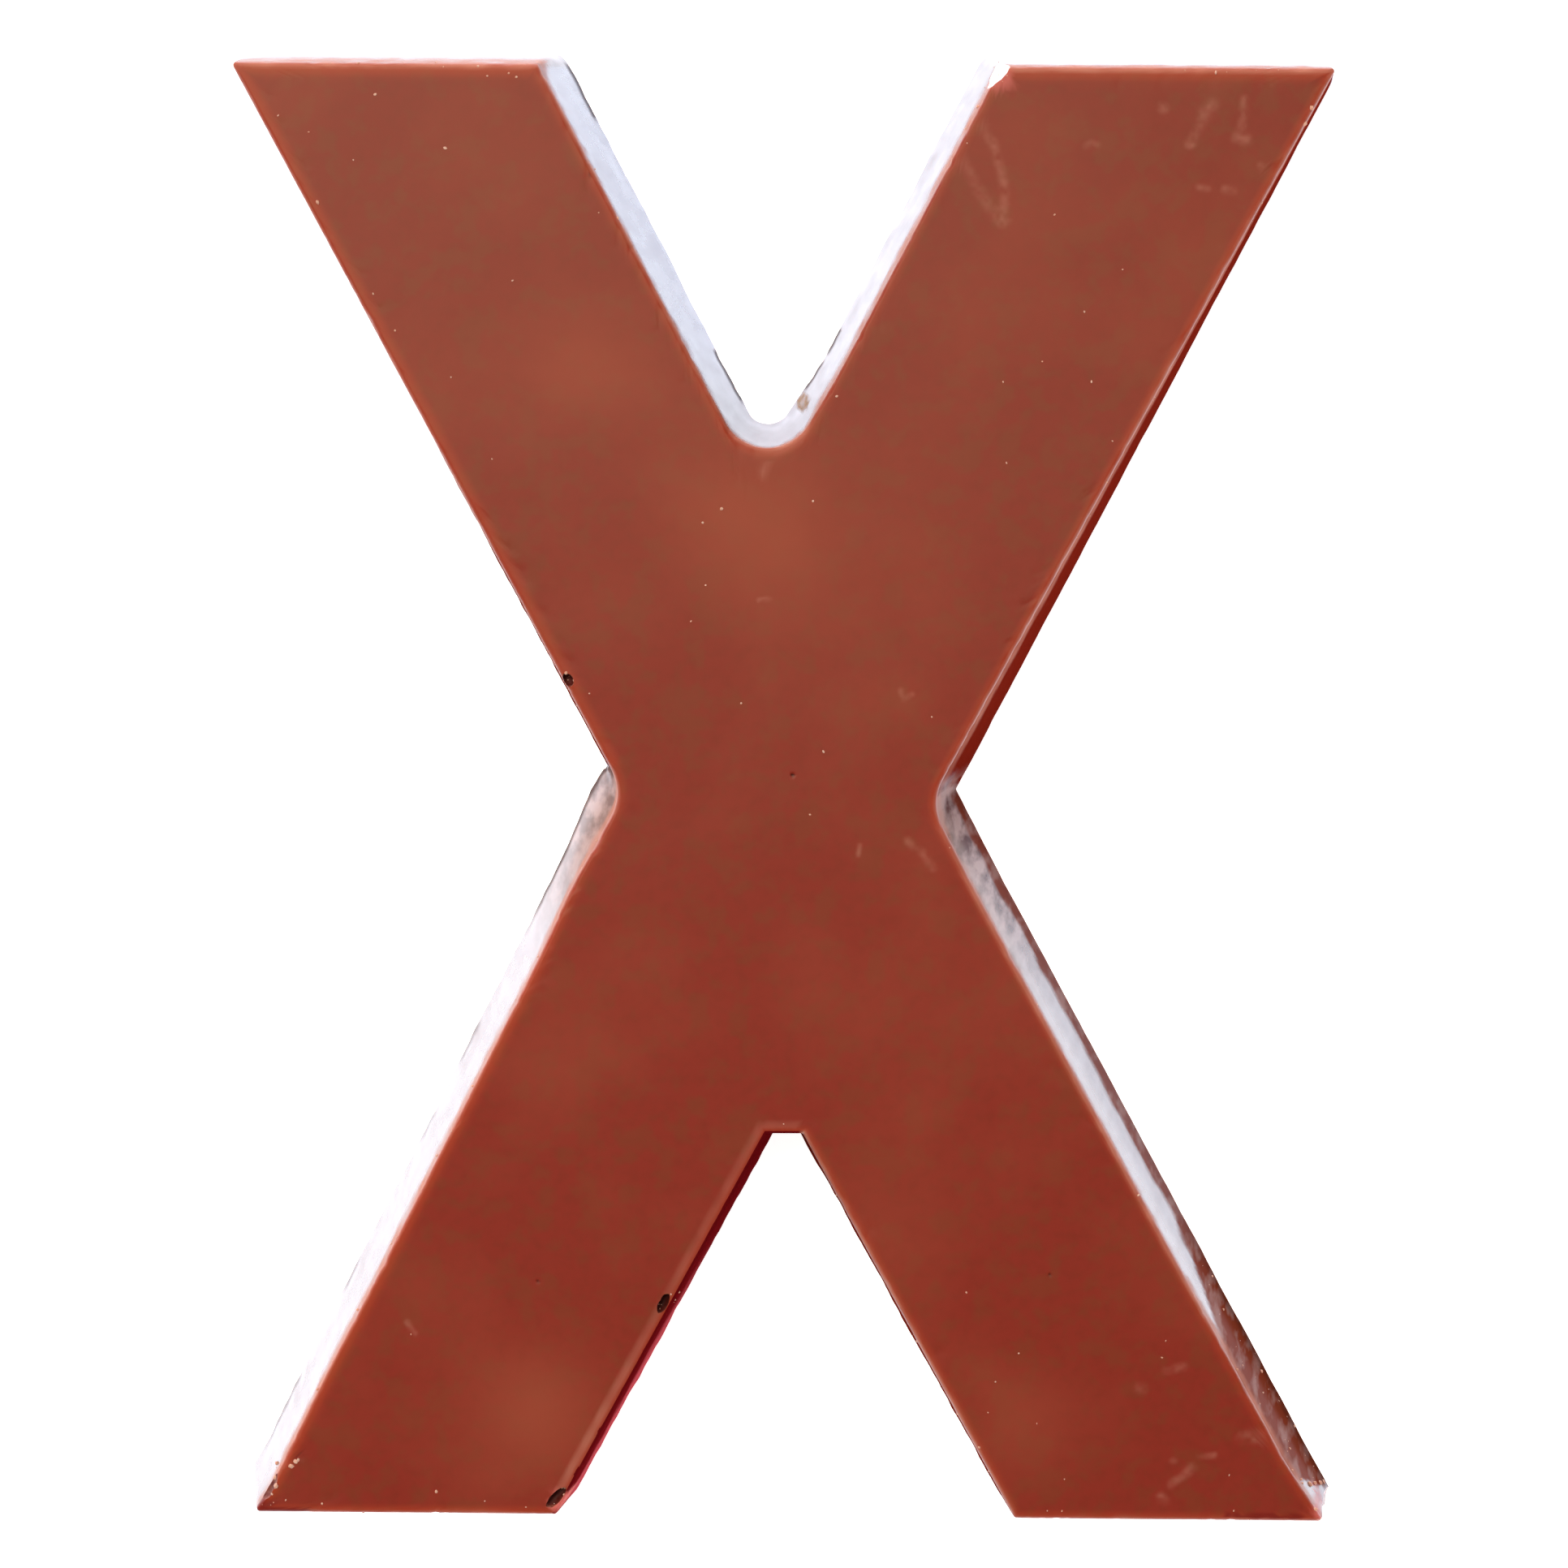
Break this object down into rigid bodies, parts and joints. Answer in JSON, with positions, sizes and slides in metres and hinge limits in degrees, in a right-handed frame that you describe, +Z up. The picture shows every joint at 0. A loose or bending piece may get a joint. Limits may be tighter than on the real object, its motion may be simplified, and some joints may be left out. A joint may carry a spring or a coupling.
{
  "type": "chocolate letter",
  "caption": "Moulded milk chocolate letter, a plain sans-serif capital of crossed strokes with a flat glossy face and leaning sides, lying on its flat back; it is eaten or given as a gift.",
  "frame": {"origin": "under the middle of the letter's bounding box, on the surface it lies on", "axes": "+Z up out of the face, +Y towards the top of the letter, +X to the reader's right"},
  "size_m": [0.09, 0.1216, 0.01],
  "materials": {
    "milk_chocolate": "mould-polished milk chocolate, satin to glossy"
  },
  "bodies": {
    "root": {"letter": "milk_chocolate"}
  },
  "joints": []
}
